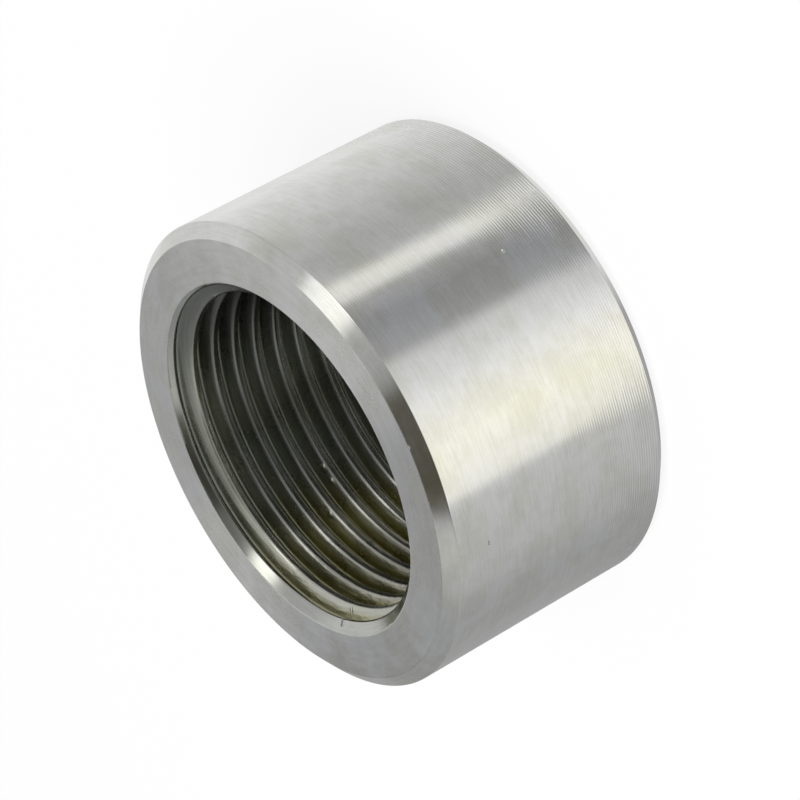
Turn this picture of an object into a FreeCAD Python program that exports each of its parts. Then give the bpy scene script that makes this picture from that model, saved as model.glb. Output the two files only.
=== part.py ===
import FreeCAD, Part
import math
import os

# Weld-on threaded socket: a short thick ring turned from stainless bar, threaded right through.
# All sizes are in millimetres. +Z runs along the bore towards the mouth, the end that takes the pipe.
# The origin is the centre of the rear face, on which the socket stands.

# Ring
WALL = 4.28
LENGTH = 19.4

# Parallel pipe thread of size 3/4: 14 turns to the inch, flanks at 55 degrees
THREAD_MAJOR_DIAMETER = 26.44
THREAD_PITCH = 1.814
THREAD_DEPTH = 0.97
THREAD_ANGLE = 55.0
THREAD_LEFT_HANDED = True
THREAD_START_AZIMUTH = -93.0

# Countersinks that lead into the thread at both ends
COUNTERSINK_CLEARANCE = 0.06
COUNTERSINK_ANGLE = 90.0

# Chamfers round the outer edges: the mouth's is flatter, the rear one is the weld's edge
MOUTH_CHAMFER_ACROSS = 1.0
MOUTH_CHAMFER_ALONG = 0.8
REAR_CHAMFER = 0.9

# How far the thread cutter reaches into the open bore, and how many turns it runs past each end
CUTTER_OVERRUN = 0.3
RUN_OUT_TURNS = 1.5

# Sizes that follow from the ones above
major_radius = THREAD_MAJOR_DIAMETER / 2
bore_radius = major_radius - THREAD_DEPTH
outer_radius = major_radius + WALL
countersink_radius = major_radius + COUNTERSINK_CLEARANCE
countersink_depth = (countersink_radius - bore_radius) / math.tan(math.radians(COUNTERSINK_ANGLE / 2))

CENTRE = FreeCAD.Vector(0, 0, 0)
BORE_AXIS = FreeCAD.Vector(0, 0, 1)


def closed_section(corners):
    """A closed outline in the XZ plane from (radius, height) pairs."""
    points = [FreeCAD.Vector(radius, 0, height) for radius, height in corners]
    return Part.makePolygon(points + points[:1])


def turned_ring():
    """The ring before threading: bored, countersunk and chamfered in one revolved section."""
    section = closed_section([
        (bore_radius, countersink_depth),
        (countersink_radius, 0),
        (outer_radius - REAR_CHAMFER, 0),
        (outer_radius, REAR_CHAMFER),
        (outer_radius, LENGTH - MOUTH_CHAMFER_ALONG),
        (outer_radius - MOUTH_CHAMFER_ACROSS, LENGTH),
        (countersink_radius, LENGTH),
        (bore_radius, LENGTH - countersink_depth),
    ])
    return Part.Face(section).revolve(CENTRE, BORE_AXIS, 360)


def thread_groove():
    """The V groove that the threading tool leaves, as one solid helix that passes both ends."""
    run_out = RUN_OUT_TURNS * THREAD_PITCH
    inner_radius = bore_radius - CUTTER_OVERRUN
    half_width = (major_radius - inner_radius) * math.tan(math.radians(THREAD_ANGLE / 2))
    section = closed_section([
        (inner_radius, -half_width),
        (major_radius, 0),
        (inner_radius, half_width),
    ])
    swept_length = LENGTH + 2 * run_out
    helix = Part.makeLongHelix(THREAD_PITCH, swept_length, major_radius, 0, THREAD_LEFT_HANDED)
    groove = Part.Wire(helix.Edges).makePipeShell([section], True, True)

    # The cutter's path starts at azimuth 0, so lowering it to the first whole turn below the rear
    # face and then turning it about the bore lets its centre line leave the mouth at the start azimuth
    turns_to_mouth = (LENGTH + run_out) / THREAD_PITCH
    direction = -1 if THREAD_LEFT_HANDED else 1
    azimuth_at_mouth = direction * 360 * turns_to_mouth
    groove.translate(FreeCAD.Vector(0, 0, -run_out))
    groove.rotate(CENTRE, BORE_AXIS, THREAD_START_AZIMUTH - azimuth_at_mouth)
    return groove


def threaded_socket():
    """The finished socket: the turned ring with the thread cut through it."""
    threaded = turned_ring().cut(thread_groove())
    if len(threaded.Solids) != 1 or not threaded.isValid():
        raise RuntimeError("the thread cut did not leave one sound solid")
    return threaded.Solids[0]


os.makedirs("parts", exist_ok=True)
threaded_socket().exportStep("parts/threaded_socket.step")
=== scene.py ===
import math
from types import SimpleNamespace

import bmesh
import bpy
import numpy as np
from mathutils import Matrix, Vector


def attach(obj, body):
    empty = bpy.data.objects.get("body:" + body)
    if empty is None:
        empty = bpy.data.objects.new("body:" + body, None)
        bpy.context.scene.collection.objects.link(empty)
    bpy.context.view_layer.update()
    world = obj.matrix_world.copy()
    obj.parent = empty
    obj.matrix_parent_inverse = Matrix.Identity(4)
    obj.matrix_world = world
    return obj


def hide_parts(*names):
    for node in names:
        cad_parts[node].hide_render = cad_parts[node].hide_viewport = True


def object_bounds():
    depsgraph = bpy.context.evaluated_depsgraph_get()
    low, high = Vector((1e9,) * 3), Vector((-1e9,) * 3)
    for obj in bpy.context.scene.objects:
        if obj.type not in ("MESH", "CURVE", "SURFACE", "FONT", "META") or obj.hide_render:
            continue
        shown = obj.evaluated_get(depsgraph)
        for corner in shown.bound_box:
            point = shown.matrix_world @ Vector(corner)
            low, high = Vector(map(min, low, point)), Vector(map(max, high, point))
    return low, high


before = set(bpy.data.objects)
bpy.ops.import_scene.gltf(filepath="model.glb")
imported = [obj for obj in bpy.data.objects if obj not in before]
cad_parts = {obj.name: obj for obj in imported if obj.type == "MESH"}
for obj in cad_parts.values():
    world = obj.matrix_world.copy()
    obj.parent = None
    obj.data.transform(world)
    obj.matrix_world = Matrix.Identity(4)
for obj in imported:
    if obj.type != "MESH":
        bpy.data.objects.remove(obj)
cad_low, cad_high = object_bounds()

# All sizes are in metres. The outside comes from the frame. The rest repeats the part's source, apart from
# the thread's depth: here it is the photographed one, 0.13 mm more than the source's.
MM = 0.001

# Ring
OUTER_RADIUS = cad_high[0]
LENGTH = cad_high[2] - cad_low[2]
MOUTH_CHAMFER_ACROSS = 1.0 * MM
MOUTH_CHAMFER_ALONG = 0.8 * MM
REAR_CHAMFER = 0.9 * MM

# Left-hand thread, and the 90 degree countersinks that lead into it
THREAD_MAJOR_RADIUS = 13.22 * MM
THREAD_PITCH = 1.814 * MM
THREAD_DEPTH = 1.10 * MM
THREAD_HALF_ANGLE = math.radians(27.5)
THREAD_START_AZIMUTH = math.radians(-93.0)
COUNTERSINK_CLEARANCE = 0.06 * MM
BORE_RADIUS = THREAD_MAJOR_RADIUS - THREAD_DEPTH
COUNTERSINK_RADIUS = THREAD_MAJOR_RADIUS + COUNTERSINK_CLEARANCE

# Roundings that only show close up
EDGE_ROUNDING = 0.07 * MM
CREST_ROUNDING = 0.14 * MM
LIP_ROUNDING = 0.05 * MM
ROOT_FLAT = THREAD_PITCH / 8

# Mesh density, and how close two points are that become one
COLUMNS = 352
ROWS_PER_PITCH = 18
ARC_STEPS = 4
MERGE_DISTANCE = 0.002 * MM

# Camera, as fitted to the outline and the mouth's edges in the photograph
VIEW_ELEVATION = math.radians(28.9)
VIEW_ROLL = math.radians(-118.55)
VIEW_DISTANCE = 15.84 * OUTER_RADIUS
VIEW_SHIFT_ACROSS = 0.0191 * OUTER_RADIUS
VIEW_SHIFT_UP = 0.0075 * OUTER_RADIUS
LENS = 180.05
SENSOR = 36.0

# Colours of the steel, and of the oil film in the thread
STEEL = (0.785, 0.785, 0.778)
DULL_STEEL = (0.59, 0.60, 0.57)
CUT_STEEL = (0.62, 0.63, 0.57)
CREAM_TONE = (0.955, 0.95, 0.90)
# The crests' oil colours are darker and the groove's lighter: painted shade on the crests and painted light
# in the groove, on the oil's grey and olive
OILY_CREST_PAINTED_SHADE = (0.29, 0.30, 0.275)
WET_CREST_PAINTED_SHADE = (0.48, 0.48, 0.42)
OIL_GREY_PAINTED_LIGHT = (0.42, 0.44, 0.39)
OIL_OLIVE_PAINTED_LIGHT = (0.52, 0.49, 0.22)

# Noise patterns, as (scale per metre, detail, roughness)
CLOUDS = (210.0, 4.0, 0.65)
MOTTLE = (420.0, 5.0, 0.7)
RIDGE_WAVES = (90.0, 1.0, 0.5)
OIL_EDGE = (160.0, 2.0, 0.5)
STREAK = (1.0, 3.0, 0.65)

# Tool marks: uneven lines and even ridges, how much they raise and darken the steel, and how that changes
# along the wall
LINE_WIDTH_PER_SPACING = 0.8
LINE_LENGTH = 2.5 * MM
LINE_RELIEF = 0.6
RIDGE_RELIEF = 0.35
RIDGE_SHIFT_PER_SPACING = 0.25
MARK_SHADE = 0.08
EVEN_STRENGTH = 0.5
REAR_STRENGTH = 1.0
MOUTH_STRENGTH = 0.08
REAR_MARKS_FROM = 1.5 * MM
REAR_MARKS_TO = 9.0 * MM

# Ranges of the noise over which the steel's tone, shade and roughness change, and the values at both ends
CREAM_RANGE = (0.38, 0.62)
MOTTLE_RANGE = (0.36, 0.62)
MOTTLE_SHADES = (0.92, 0.97)
LINE_RANGE = (0.3, 0.65)
ROUGHNESS_RANGE = (0.3, 0.7)
SMOOTHEST = 0.9
ROUGHEST = 1.15

# The darker +Y side of the countersinks, partly real discolouring and partly painted shade for a dark
# reflection, and how dark it is
STAIN_AND_SHADE_RANGE = (11.5 * MM, 13 * MM)
STAIN_AND_PAINTED_SHADE = 0.5

# The thread: painted shade on the +X side; oil pooled on the -X side and thickest in the groove and far in,
# whose colours also paint shade far in and on the crests, and light in the groove
PAINTED_SIDE_SHADE_RANGE = (6 * MM, 12 * MM)
PAINTED_SIDE_SHADE = 0.54
POOL_RANGE = (6 * MM, -6 * MM)
POOL_EDGE_WANDER = 8 * MM
# Deeper in than this, the oil's darker colours cover everything: real oil, and painted shade deeper in the
# bore
OIL_AND_SHADE_FROM_HEIGHT = (LENGTH - 3.6 * MM, LENGTH - 1.6 * MM)
GROOVE_RANGE = (BORE_RADIUS + 0.1 * MM, THREAD_MAJOR_RADIUS - 0.35 * MM)
GROOVE_COVER = 0.6
RIPPLE_WIDTH = 0.5 * MM
RIPPLE_LENGTH = 3 * MM
RIPPLE_RANGE = (0.4, 0.65)
RIPPLE_RELIEF = 0.3

# Small marks: how deep they press at full strength, how soft their edge is, and the steps of a scratch
DENT_DEPTH = 0.06 * MM
MARK_SOFTNESS = 0.8
SCRATCH_STEPS = 5

# Which finish each part of the surface has
WALL, FACES, CHAMFERS, COUNTERSINK, THREAD = range(5)


def scratch(start, end, size, proud, darkness):
    """A short stroke, made of small marks that run into one another."""
    places = [tuple(Vector(start).lerp(end, step / SCRATCH_STEPS)) for step in range(SCRATCH_STEPS + 1)]
    return [(place, size, proud, darkness) for place in places]


# Small marks of use, as (place in millimetres, size in millimetres, how proud or, below 0, how deep, and how
# dark or, below 0, how bright)
WALL_MARKS = [
    ((5.35, -16.66, 6.29), 0.14, -1.0, 0.0),
    ((-10.97, -13.63, 16.03), 0.07, -0.5, 0.9),
    ((-11.07, -13.56, 16.04), 0.08, -0.5, 0.9),
    ((-11.17, -13.48, 16.05), 0.07, -0.5, 0.9),
    ((10.02, -14.34, 16.98), 0.13, -0.1, 0.10),
]
CHAMFER_MARKS = [((-3.01, -16.21, 19.4), 0.16, 1.0, 0.0)]
LIP_SCRATCH = scratch((-11.50, 5.20, 18.72), (-11.83, 5.19, 19.04), 0.12, -0.4, 0.35)
# A raised burr, whose brighter colour is a painted highlight
LIP_BURR_AND_HIGHLIGHT = scratch((-11.60, 4.98, 18.73), (-11.98, 5.04, 19.11), 0.12, 0.3, -0.16)
TOOTH_SCRATCH = scratch((-11.15, 5.33, 17.59), (-11.62, 5.36, 17.82), 0.10, -0.3, 0.28)
# A raised burr, whose brighter colour is a painted highlight
TOOTH_BURR_AND_HIGHLIGHT = scratch((-11.11, 5.48, 17.61), (-11.63, 5.43, 17.84), 0.10, 0.3, -0.08)
OIL_DROPS = [
    ((-1.76, 12.38, 10.54), 0.42, 1.5, 0.0),
    ((-2.85, 12.17, 10.76), 0.34, 1.5, 0.0),
    ((-4.87, 11.51, 12.45), 0.34, 1.2, 0.0),
]
COUNTERSINK_MARKS = LIP_SCRATCH + LIP_BURR_AND_HIGHLIGHT
THREAD_MARKS = LIP_SCRATCH + TOOTH_SCRATCH + TOOTH_BURR_AND_HIGHLIGHT + OIL_DROPS

# The light tent all round, as (azimuth in degrees, brightness) for what lies below and above the horizon:
# a dim side, the big softbox from -141 to -76, a dark gap, the strip lamp at -36, and a pale side that ends
# at 90. What is brighter than WARM_ABOVE is a warm lamp, and what is darker than COOL_BELOW is cool cloth.
TENT_RADIUS = 1.4
LOW_BAND = [
    (-180, 0.52), (-144, 0.61), (-141, 1.03), (-118, 1.16), (-98, 1.00), (-90, 0.87), (-76, 0.69),
    (-71, 0.39), (-54, 0.32), (-42, 0.42), (-39, 0.90), (-32, 1.00), (-27, 0.50), (-14, 0.46),
    (22, 0.70), (58, 0.88), (86, 0.76), (95, 0.40), (154, 0.39), (180, 0.52),
]
HIGH_BAND = [
    (-180, 0.50), (-155, 0.40), (-120, 0.35), (0, 0.48), (22, 0.55), (34, 0.74), (62, 0.70),
    (76, 0.50), (88, 0.38), (96, 0.22), (120, 0.36), (148, 0.37), (160, 0.48), (180, 0.50),
]
HORIZON_BLUR = 0.12
WARM_ABOVE = 0.95
WARMING = 0.7
WARMING_OF_GREEN = 1 / 7
COOL_BELOW = 0.45
COOLING = 0.4
COOLING_OF_GREEN = 0.7

# Flags and lamps overhead in the tent, as (direction, reach, softness of the edge, colour)
FLAG = (0.085, 0.080, 0.058)
PATCHES = [
    ((-0.40, -0.28, 0.87), 0.28, 0.25, FLAG),
    ((-0.14, -0.36, 0.925), 0.28, 0.45, FLAG),
    ((-0.68, 0.00, 0.73), 0.21, 0.8, (0.62, 0.62, 0.60)),
    ((0.50, -0.06, 0.865), 0.20, 0.35, (1.15, 1.15, 1.14)),
    ((0.56, -0.27, 0.785), 0.20, 0.5, (2.20, 2.20, 2.14)),
    ((0.10, 0.60, 0.79), 0.16, 0.6, (1.45, 1.45, 1.43)),
    ((0.03, 0.94, 0.34), 0.16, 0.8, (0.85, 0.85, 0.84)),
]

# The rest of the staging
WHITE = (1, 1, 1, 1)
WORLD_GREY = (0.5, 0.5, 0.5, 1)
FLOOR_GREY = (0.9, 0.9, 0.9, 1)
# The dark square under the bore, seen only in reflections, is painted shade
PAINTED_FLOOR_SHADE = (0.10, 0.10, 0.09, 1)
FLOOR_WHITENESS = 0.85
FLOOR_HALF_WIDTH = 1.5
FLOOR_HEIGHT = -0.02 * MM
SHADED_HALF_WIDTH = 0.75 * COUNTERSINK_RADIUS
SHADED_HEIGHT = -0.01 * MM
LAMP_PLACE = (-0.25, -0.45, 0.9)
LAMP_SIZE = 0.8
LAMP_POWER = 9.0


def smooth_max(a, b, width):
    """The larger of two values, with the corner between them rounded over about this width."""
    gap = np.maximum(width - np.abs(a - b), 0.0)
    return np.maximum(a, b) + gap * gap / (4 * width)


def groove_radius(along):
    """Radius of the thread groove's wall at a distance along the bore from the groove's centre line."""
    offset = (along + THREAD_PITCH / 2) % THREAD_PITCH - THREAD_PITCH / 2
    beyond_flat = np.abs(offset) - ROOT_FLAT / 2
    rise = smooth_max(beyond_flat, np.zeros_like(beyond_flat), ROOT_FLAT / 2)
    return THREAD_MAJOR_RADIUS - rise / math.tan(THREAD_HALF_ANGLE)


def bore_radius(azimuth, height):
    """Radius of the bore's wall: the drilled bore, the groove or a countersink, whichever is widest."""
    from_mouth = LENGTH - height
    turned = azimuth - THREAD_START_AZIMUTH
    radius = groove_radius(from_mouth - THREAD_PITCH * turned / math.tau)
    radius = smooth_max(radius, np.full_like(radius, BORE_RADIUS), CREST_ROUNDING)
    for depth in (from_mouth, height):
        radius = smooth_max(radius, COUNTERSINK_RADIUS - depth, LIP_ROUNDING)
    return radius


def rounded_corner(before, corner, after):
    """Points of a small arc that replaces a corner of the section, with a support point on each side."""
    before, corner, after = (np.array(point) for point in (before, corner, after))
    towards_before = (before - corner) / np.linalg.norm(before - corner)
    towards_after = (after - corner) / np.linalg.norm(after - corner)
    half_turn = (math.pi - math.acos(float(np.clip(towards_before @ towards_after, -1, 1)))) / 2
    start = corner + towards_before * EDGE_ROUNDING * math.tan(half_turn)
    end = corner + towards_after * EDGE_ROUNDING * math.tan(half_turn)
    inwards = (towards_before + towards_after) / np.linalg.norm(towards_before + towards_after)
    centre = corner + inwards * EDGE_ROUNDING / math.cos(half_turn)
    points = [start + towards_before * EDGE_ROUNDING]
    for step in range(ARC_STEPS + 1):
        share = step / ARC_STEPS
        spoke = start * (1 - share) + end * share - centre
        points.append(centre + spoke / np.linalg.norm(spoke) * EDGE_ROUNDING)
    points.append(end + towards_after * EDGE_ROUNDING)
    return points


def outside_section():
    """The outside from the mouth's countersink edge round to the rear one, as (radius, height) pairs."""
    corners = [
        (COUNTERSINK_RADIUS, LENGTH),
        (OUTER_RADIUS - MOUTH_CHAMFER_ACROSS, LENGTH),
        (OUTER_RADIUS, LENGTH - MOUTH_CHAMFER_ALONG),
        (OUTER_RADIUS, REAR_CHAMFER),
        (OUTER_RADIUS - REAR_CHAMFER, 0.0),
        (COUNTERSINK_RADIUS, 0.0),
    ]
    points = [np.array(corners[0]), np.array(corners[0]) + (EDGE_ROUNDING, 0.0)]
    for before, corner, after in zip(corners, corners[1:], corners[2:]):
        points += rounded_corner(before, corner, after)
    points += [np.array(corners[-1]) + (EDGE_ROUNDING, 0.0), np.array(corners[-1])]
    return points


def surface_grid():
    """Rings of points right round the section: the outside, then the bore's rows.

    Each row of the bore falls by one pitch in a turn, as the thread does, and stops at the end faces.
    """
    azimuths = np.arange(COLUMNS) * math.tau / COLUMNS
    rings = [(np.full(COLUMNS, radius), np.full(COLUMNS, height)) for radius, height in outside_section()]
    outside_rings = len(rings)
    rows = math.ceil((LENGTH / THREAD_PITCH + 1) * ROWS_PER_PITCH)
    for row in range(rows + 1):
        start = (row / ROWS_PER_PITCH - 1) * THREAD_PITCH
        heights = np.clip(start + THREAD_PITCH * (1 - azimuths / math.tau), 0.0, LENGTH)
        rings.append((bore_radius(azimuths, heights), heights))
    radii = np.array([ring[0] for ring in rings])
    heights = np.array([ring[1] for ring in rings])
    points = np.stack([radii * np.cos(azimuths), radii * np.sin(azimuths), heights], 2)
    return points, radii, heights, outside_rings


def finish_of(radius, height):
    """The finish of a patch of surface, from where its middle lies on the section."""
    from_end = min(height, LENGTH - height)
    cone_radius = COUNTERSINK_RADIUS - from_end
    tolerance = EDGE_ROUNDING / 4
    if radius < COUNTERSINK_RADIUS:
        return COUNTERSINK if abs(radius - cone_radius) <= LIP_ROUNDING else THREAD
    if radius > OUTER_RADIUS - tolerance:
        return WALL
    return FACES if from_end < tolerance else CHAMFERS


def merged(points):
    """The different points of the grid, and for each place in the grid the number of its point."""
    flat = points.reshape(-1, 3)
    keys = np.round(flat / MERGE_DISTANCE).astype(np.int64)
    _, first, number = np.unique(keys, axis=0, return_index=True, return_inverse=True)
    return flat[first], number.reshape(points.shape[:2])


def faces_of(number, radii, heights, outside_rings):
    """The faces between each ring and the next, with the finish of each."""
    faces = []
    finishes = []
    for ring in range(len(number) - 1):
        for column in range(COLUMNS):
            beside = (column + 1) % COLUMNS
            lower, upper = ring, ring + 1
            if beside == 0 and ring >= outside_rings:
                # once round, a row of the bore has fallen by one pitch and meets that lower row
                lower = max(ring - ROWS_PER_PITCH, outside_rings)
                upper = max(ring + 1 - ROWS_PER_PITCH, outside_rings)
            quad = ((ring + 1, column), (upper, beside), (lower, beside), (ring, column))
            corners = list(dict.fromkeys(int(number[place]) for place in quad))
            if len(corners) < 3:
                continue
            faces.append(corners)
            middle_radius = (radii[ring, column] + radii[ring + 1, column]) / 2
            middle_height = (heights[ring, column] + heights[ring + 1, column]) / 2
            finishes.append(finish_of(middle_radius, middle_height))
    return faces, finishes


def in_scene(name, data):
    """A new object in the scene."""
    made = bpy.data.objects.new(name, data)
    bpy.context.scene.collection.objects.link(made)
    return made


def socket_piece():
    """The whole socket as one closed mesh."""
    points, radii, heights, outside_rings = surface_grid()
    vertices, number = merged(points)
    faces, finishes = faces_of(number, radii, heights, outside_rings)
    mesh = bpy.data.meshes.new("socket")
    mesh.from_pydata([tuple(vertex) for vertex in vertices], [], faces)
    mesh.update()
    mesh.validate()
    mesh.polygons.foreach_set("material_index", finishes)
    mesh.polygons.foreach_set("use_smooth", [True] * len(faces))
    return in_scene("socket", mesh)


class Nodes:
    """Short ways to add and join the nodes of a material or of the world."""

    def __init__(self, owner):
        owner.use_nodes = True
        self.tree = owner.node_tree
        self.tree.nodes.clear()

    def add(self, kind, inputs=None, **settings):
        """A new node with these settings and inputs."""
        node = self.tree.nodes.new(kind)
        for name, value in settings.items():
            setattr(node, name, value)
        for name, value in (inputs or {}).items():
            self.feed(node.inputs[name], value)
        return node

    def feed(self, socket, value):
        """Link an input to another node's output, or set its own value."""
        if isinstance(value, bpy.types.NodeSocket):
            self.tree.links.new(value, socket)
        else:
            socket.default_value = value

    def math(self, operation, a, b=0.0, c=0.0):
        """The result of one step of arithmetic."""
        return self.add("ShaderNodeMath", {0: a, 1: b, 2: c}, operation=operation).outputs[0]

    def span(self, value, low, high, to_low=0.0, to_high=1.0):
        """A smooth change from one number to another while the value goes from low to high."""
        inputs = {"Value": value, "From Min": low, "From Max": high, "To Min": to_low, "To Max": to_high}
        return self.add("ShaderNodeMapRange", inputs, interpolation_type="SMOOTHSTEP").outputs[0]

    def blend(self, share, a, b, how="MIX"):
        """Two colours blended, by default from the first towards the second."""
        node = self.add("ShaderNodeMix", {0: share, 6: a, 7: b}, data_type="RGBA", blend_type=how)
        return node.outputs[2]

    def noise(self, where, pattern):
        """A cloudy value between 0 and 1."""
        scale, detail, roughness = pattern
        inputs = {"Vector": where, "Scale": scale, "Detail": detail, "Roughness": roughness}
        return self.add("ShaderNodeTexNoise", inputs).outputs[0]

    def near(self, where, spot, radius, soft):
        """1 at a spot, and 0 beyond this radius from it. The fade takes the soft share of the radius."""
        away = self.add("ShaderNodeVectorMath", {0: where, 1: spot}, operation="DISTANCE").outputs["Value"]
        return self.span(away, radius * (1 - soft), radius, 1.0, 0.0)


def surface_point(nodes):
    """The object's own coordinates of a point of the surface, and its distance from the bore axis."""
    where = nodes.add("ShaderNodeTexCoord").outputs["Object"]
    x, y, height = nodes.add("ShaderNodeSeparateXYZ", {0: where}).outputs
    squares = nodes.math("ADD", nodes.math("MULTIPLY", x, x), nodes.math("MULTIPLY", y, y))
    return SimpleNamespace(where=where, x=x, y=y, height=height, radius=nodes.math("SQRT", squares))


def along_height(nodes, point):
    """A coordinate that runs along the section of the wall and of the countersinks."""
    return point.height


def along_radius(nodes, point):
    """A coordinate that runs along the section of the ends, the chamfers and the thread."""
    return nodes.math("MULTIPLY_ADD", point.height, -1.0, point.radius)


def turning_ridges(nodes, profile, where, spacing):
    """Height of the even ridges that the lathe tool leaves, from a coordinate along the section."""
    waves = nodes.noise(where, RIDGE_WAVES)
    shifted = nodes.math("MULTIPLY_ADD", waves, RIDGE_SHIFT_PER_SPACING * spacing, profile)
    return nodes.math("SINE", nodes.math("MULTIPLY", shifted, math.tau / spacing))


def streaks(nodes, profile, where, width, length):
    """Fine uneven lines that run round the axis, each about this wide and this long."""
    spread = nodes.add("ShaderNodeVectorMath", {0: where, "Scale": 1 / length}, operation="SCALE")
    x, y, _ = nodes.add("ShaderNodeSeparateXYZ", {0: spread.outputs[0]}).outputs
    across = nodes.math("MULTIPLY", profile, 1 / width)
    place = nodes.add("ShaderNodeCombineXYZ", {0: x, 1: y, 2: across})
    return nodes.noise(place.outputs[0], STREAK)


def even_marks(nodes, point):
    """Tool marks of the same strength all over."""
    return EVEN_STRENGTH


def stronger_at_rear(nodes, point):
    """The tool left its clearest marks near the rear end."""
    return nodes.span(point.height, REAR_MARKS_FROM, REAR_MARKS_TO, REAR_STRENGTH, MOUTH_STRENGTH)


def bare(nodes, point, profile, colour, shade):
    """No film on the steel."""
    return colour, shade, 0.0


def stained_and_shaded(nodes, point, profile, colour, shade):
    """A countersink, darker at its +Y side: partly real discolouring, partly painted shade for a dark
    reflection there.
    """
    # Painted shade, with some real discolouring: the +Y side is darker.
    stain_and_shade = nodes.span(point.y, *STAIN_AND_SHADE_RANGE, 1.0, STAIN_AND_PAINTED_SHADE)
    return colour, nodes.math("MULTIPLY", shade, stain_and_shade), 0.0


def oiled(nodes, point, profile, colour, shade):
    """The thread under its oil, pooled, olive and rippled at the -X side, with painted shade at the +X side,
    far in and on the crests, and painted light in the groove.
    """
    # Painted shade: the +X side is darker, which dims the crests' highlights there.
    dimmed = nodes.math("MULTIPLY", shade, nodes.span(point.x, *PAINTED_SIDE_SHADE_RANGE, 1.0, PAINTED_SIDE_SHADE))
    side = nodes.math("MULTIPLY_ADD", nodes.noise(point.where, OIL_EDGE), POOL_EDGE_WANDER, point.x)
    pooled = nodes.span(side, *POOL_RANGE)
    # Painted light in the groove's colours and painted shade in the crests' colours
    root = nodes.blend(pooled, OIL_GREY_PAINTED_LIGHT + (1,), OIL_OLIVE_PAINTED_LIGHT + (1,))
    crest = nodes.blend(pooled, OILY_CREST_PAINTED_SHADE + (1,), WET_CREST_PAINTED_SHADE + (1,))
    in_groove = nodes.span(point.radius, *GROOVE_RANGE)
    # Real oil, and painted shade: deeper in from the mouth the darker oil colours take over
    far_in = nodes.span(point.height, *OIL_AND_SHADE_FROM_HEIGHT, 1.0, 0.0)
    cover = nodes.math("MAXIMUM", far_in, nodes.math("MULTIPLY", in_groove, GROOVE_COVER))
    covered = nodes.blend(cover, colour, nodes.blend(in_groove, crest, root))
    runs = streaks(nodes, profile, point.where, RIPPLE_WIDTH, RIPPLE_LENGTH)
    swell = nodes.math("MULTIPLY", pooled, RIPPLE_RELIEF)
    ripples = nodes.math("MULTIPLY", nodes.span(runs, *RIPPLE_RANGE), swell)
    return covered, dimmed, ripples


def with_marks(nodes, where, marks, dents, shade):
    """The surface's dents and shade once the small marks are added."""
    for place, size, proud, darkness in marks:
        spot = nodes.near(where, tuple(part * MM for part in place), size * MM, MARK_SOFTNESS)
        dents = nodes.math("MULTIPLY_ADD", spot, proud, dents)
        # A darkness below 0 makes the spot brighter: a painted highlight
        if darkness:
            shade = nodes.math("MULTIPLY", shade, nodes.math("MULTIPLY_ADD", spot, -darkness, 1.0))
    return dents, shade


def steel(name, tint, profile_of, spacing, depth, roughness, stretch,
          strength_of=even_marks, ridged=False, film=bare, marks=()):
    """Turned stainless steel: the marks run round the axis and draw out what it mirrors along the section.

    spacing and depth are those of the tool marks, and stretch is how far the reflections are drawn out.
    """
    material = bpy.data.materials.new(name)
    nodes = Nodes(material)
    point = surface_point(nodes)
    where = point.where
    profile = profile_of(nodes, point)

    strength = strength_of(nodes, point)
    ridges = turning_ridges(nodes, profile, where, spacing) if ridged else 0.0
    lines = streaks(nodes, profile, where, LINE_WIDTH_PER_SPACING * spacing, LINE_LENGTH)
    relief = nodes.math("MULTIPLY_ADD", lines, LINE_RELIEF, nodes.math("MULTIPLY", ridges, RIDGE_RELIEF))
    height = nodes.math("MULTIPLY", relief, strength)
    bump = nodes.add("ShaderNodeBump", {"Strength": 1.0, "Distance": depth, "Height": height})

    cloud = nodes.noise(where, CLOUDS)
    cream = tuple(part * share for part, share in zip(tint, CREAM_TONE)) + (1,)
    colour = nodes.blend(nodes.span(cloud, *CREAM_RANGE), cream, tint + (1,))
    mottle = nodes.span(nodes.noise(where, MOTTLE), *MOTTLE_RANGE, *MOTTLE_SHADES)
    shade = nodes.math("MULTIPLY_ADD", nodes.span(lines, *LINE_RANGE), MARK_SHADE, mottle)
    shade = nodes.math("MULTIPLY_ADD", nodes.math("MULTIPLY", ridges, strength), MARK_SHADE, shade)

    colour, shade, dents = film(nodes, point, profile, colour, shade)
    dents, shade = with_marks(nodes, where, marks, dents, shade)
    grey = nodes.add("ShaderNodeCombineColor", {0: shade, 1: shade, 2: shade}).outputs[0]
    dented = nodes.add("ShaderNodeBump", {
        "Strength": 1.0,
        "Distance": DENT_DEPTH,
        "Height": dents,
        "Normal": bump.outputs[0],
    })
    shader = nodes.add("ShaderNodeBsdfPrincipled", {
        "Base Color": nodes.blend(1.0, colour, grey, "MULTIPLY"),
        "Metallic": 1.0,
        "Roughness": nodes.span(cloud, *ROUGHNESS_RANGE, roughness * SMOOTHEST, roughness * ROUGHEST),
        "Anisotropic": stretch,
        "Anisotropic Rotation": 0.25,
        "Tangent": nodes.add("ShaderNodeTangent", direction_type="RADIAL", axis="Z").outputs[0],
        "Normal": dented.outputs[0],
    })
    nodes.add("ShaderNodeOutputMaterial", {"Surface": shader.outputs[0]})
    return material


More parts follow.
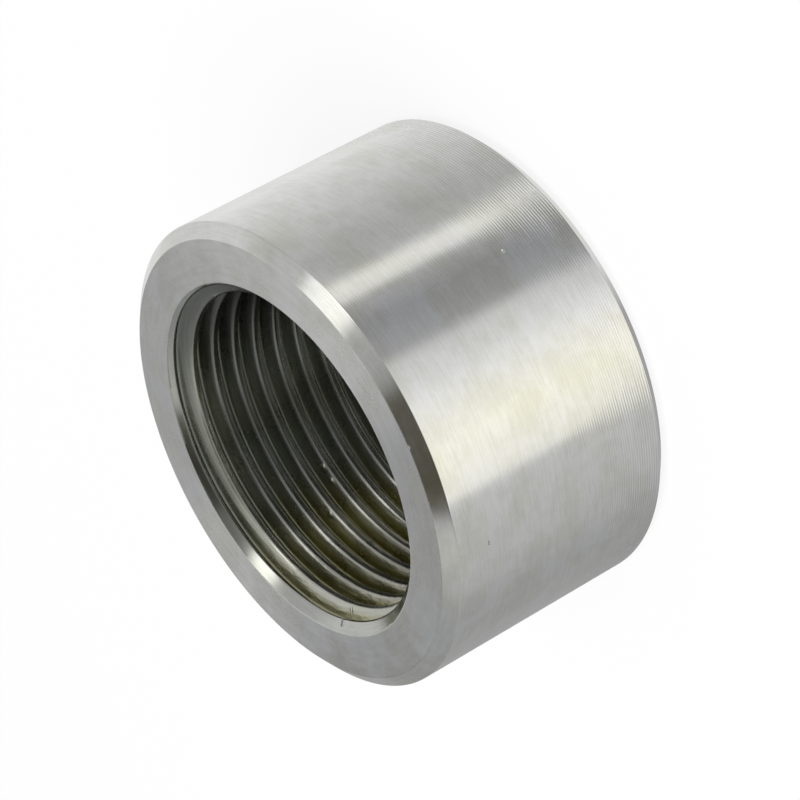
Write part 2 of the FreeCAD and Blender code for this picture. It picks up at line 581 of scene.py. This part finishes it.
def finishes_of_socket():
    """The five finishes, in the order of their numbers."""
    return [
        steel("turned wall", STEEL, along_height, spacing=0.21 * MM, depth=0.022 * MM, roughness=0.16,
              stretch=0.75, strength_of=stronger_at_rear, ridged=True, marks=WALL_MARKS),
        steel("faced ends", STEEL, along_radius, spacing=0.50 * MM, depth=0.006 * MM, roughness=0.28,
              stretch=0.85),
        steel("chamfers", STEEL, along_radius, spacing=0.28 * MM, depth=0.008 * MM, roughness=0.16,
              stretch=0.4, marks=CHAMFER_MARKS),
        steel("countersinks", DULL_STEEL, along_height, spacing=0.20 * MM, depth=0.010 * MM, roughness=0.20,
              stretch=0.5, film=stained_and_shaded, marks=COUNTERSINK_MARKS),
        steel("oily thread", CUT_STEEL, along_radius, spacing=0.15 * MM, depth=0.006 * MM, roughness=0.27,
              stretch=0.55, ridged=True, film=oiled, marks=THREAD_MARKS),
    ]


def band(nodes, turn, stops):
    """A ring of brightness round the horizon, from the share of a full turn."""
    ramp = nodes.add("ShaderNodeValToRGB", {0: turn})
    elements = ramp.color_ramp.elements
    for azimuth, brightness in stops:
        place = (azimuth + 180) / 360
        if place in (0.0, 1.0):
            stop = elements[0 if place == 0.0 else len(elements) - 1]
        else:
            stop = elements.new(place)
        warmth = max(brightness - WARM_ABOVE, 0.0) * WARMING
        coolness = max(COOL_BELOW - brightness, 0.0) * COOLING
        green = brightness * (1 - warmth * WARMING_OF_GREEN - coolness * COOLING_OF_GREEN)
        stop.color = (brightness * (1 - coolness), green, brightness * (1 - warmth), 1)
    return ramp.outputs[0]


def tent_material():
    """What the tent looks like in each direction from the socket. It isn't sampled as a lamp."""
    material = bpy.data.materials.new("light tent")
    material.cycles.emission_sampling = "NONE"
    nodes = Nodes(material)
    place = nodes.add("ShaderNodeTexCoord").outputs["Object"]
    direction = nodes.add("ShaderNodeVectorMath", {0: place}, operation="NORMALIZE").outputs[0]
    x, y, height = nodes.add("ShaderNodeSeparateXYZ", {0: direction}).outputs
    turn = nodes.math("MULTIPLY_ADD", nodes.math("ARCTAN2", y, x), 1 / math.tau, 0.5)
    above = nodes.span(height, -HORIZON_BLUR, HORIZON_BLUR)
    light = nodes.blend(above, band(nodes, turn, LOW_BAND), band(nodes, turn, HIGH_BAND))
    for spot, reach, soft, colour in PATCHES:
        light = nodes.blend(nodes.near(direction, spot, reach, soft), light, colour + (1,))
    glow = nodes.add("ShaderNodeEmission", {"Color": light, "Strength": 1.0})
    nodes.add("ShaderNodeOutputMaterial", {"Surface": glow.outputs[0]})
    return material


def seen_directly(nodes):
    """1 for the rays that show a background: the camera's own, and those mirrored or let through."""
    path = nodes.add("ShaderNodeLightPath").outputs
    mirrored = nodes.math("MAXIMUM", path["Is Glossy Ray"], path["Is Transmission Ray"])
    return nodes.math("MAXIMUM", path["Is Camera Ray"], mirrored)


def floor_material():
    """A plain white floor that still takes the object's shadow."""
    material = bpy.data.materials.new("floor")
    nodes = Nodes(material)
    matt = nodes.add("ShaderNodeBsdfDiffuse", {"Color": FLOOR_GREY})
    plain = nodes.add("ShaderNodeEmission", {"Color": WHITE, "Strength": 1.0})
    share = nodes.math("MULTIPLY", seen_directly(nodes), FLOOR_WHITENESS)
    mixed = nodes.add("ShaderNodeMixShader", {0: share, 1: matt.outputs[0], 2: plain.outputs[0]})
    nodes.add("ShaderNodeOutputMaterial", {"Surface": mixed.outputs[0]})
    return material


def painted_floor_shade_material():
    """A dark square right under the bore, seen only in the steel's reflections: painted shade where little
    light reaches.
    """
    material = bpy.data.materials.new("painted floor shade")
    nodes = Nodes(material)
    matt = nodes.add("ShaderNodeBsdfDiffuse", {"Color": PAINTED_FLOOR_SHADE})
    nodes.add("ShaderNodeOutputMaterial", {"Surface": matt.outputs[0]})
    return material


def white_world():
    """A white background, and an even grey light on what is matt."""
    world = bpy.data.worlds.new("white background")
    bpy.context.scene.world = world
    nodes = Nodes(world)
    colour = nodes.blend(seen_directly(nodes), WORLD_GREY, WHITE)
    background = nodes.add("ShaderNodeBackground", {"Color": colour, "Strength": 1.0})
    nodes.add("ShaderNodeOutputWorld", {"Surface": background.outputs[0]})


def hide_from(thing, rays):
    """Make an object invisible to these kinds of ray."""
    for ray in rays:
        setattr(thing, f"visible_{ray}", False)


def light_tent():
    """The tent that the steel mirrors. It stands in reflections only, so the camera looks in through it."""
    mesh = bpy.data.meshes.new("light tent")
    shell = bmesh.new()
    bmesh.ops.create_uvsphere(shell, u_segments=96, v_segments=48, radius=TENT_RADIUS)
    shell.to_mesh(mesh)
    shell.free()
    mesh.materials.append(tent_material())
    tent = in_scene("light tent", mesh)
    hide_from(tent, ("camera", "diffuse", "transmission", "shadow"))


def soft_lamp():
    """A square soft lamp overhead, aimed at the socket and left out of what the steel mirrors."""
    light = bpy.data.lights.new("overhead lamp", "AREA")
    light.size = LAMP_SIZE
    light.energy = LAMP_POWER
    lamp = in_scene("overhead lamp", light)
    aim = Vector((0, 0, LENGTH / 2)) - Vector(LAMP_PLACE)
    lamp.matrix_world = Matrix.Translation(LAMP_PLACE) @ aim.to_track_quat("-Z", "Y").to_matrix().to_4x4()
    hide_from(lamp, ("glossy",))


def camera():
    """The camera at the photograph's place, turned about its own axis as the picture is."""
    back = Vector((0, -math.cos(VIEW_ELEVATION), math.sin(VIEW_ELEVATION)))
    level = Vector((1, 0, 0))
    upright = Vector((0, math.sin(VIEW_ELEVATION), math.cos(VIEW_ELEVATION)))
    right = level * math.cos(VIEW_ROLL) + upright * math.sin(VIEW_ROLL)
    up = upright * math.cos(VIEW_ROLL) - level * math.sin(VIEW_ROLL)
    middle = Vector((0, 0, LENGTH / 2))
    place = middle + back * VIEW_DISTANCE + right * VIEW_SHIFT_ACROSS + up * VIEW_SHIFT_UP
    lens = bpy.data.cameras.new("camera")
    lens.lens = LENS
    lens.sensor_width = SENSOR
    lens.clip_start = 10 * MM
    lens.clip_end = 10.0
    holder = in_scene("camera", lens)
    holder.matrix_world = Matrix((
        (right.x, up.x, back.x, place.x),
        (right.y, up.y, back.y, place.y),
        (right.z, up.z, back.z, place.z),
        (0, 0, 0, 1),
    ))
    bpy.context.scene.camera = holder


def ground(name, half, height, material, hidden_from):
    """A level square of floor."""
    mesh = bpy.data.meshes.new(name)
    corners = [(-half, -half, 0), (half, -half, 0), (half, half, 0), (-half, half, 0)]
    mesh.from_pydata(corners, [], [(0, 1, 2, 3)])
    mesh.materials.append(material)
    square = in_scene(name, mesh)
    square.location.z = height
    hide_from(square, hidden_from)


socket = socket_piece()
for finish in finishes_of_socket():
    socket.data.materials.append(finish)
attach(socket, "root")
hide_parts("threaded_socket")

white_world()
light_tent()
soft_lamp()
camera()
ground("floor", FLOOR_HALF_WIDTH, FLOOR_HEIGHT, floor_material(), ("glossy",))
# A dark square seen only in reflections: painted shade under the bore
ground("painted shade under the bore", SHADED_HALF_WIDTH, SHADED_HEIGHT, painted_floor_shade_material(),
       ("camera", "diffuse", "shadow"))
bpy.context.scene.view_settings.view_transform = "Standard"
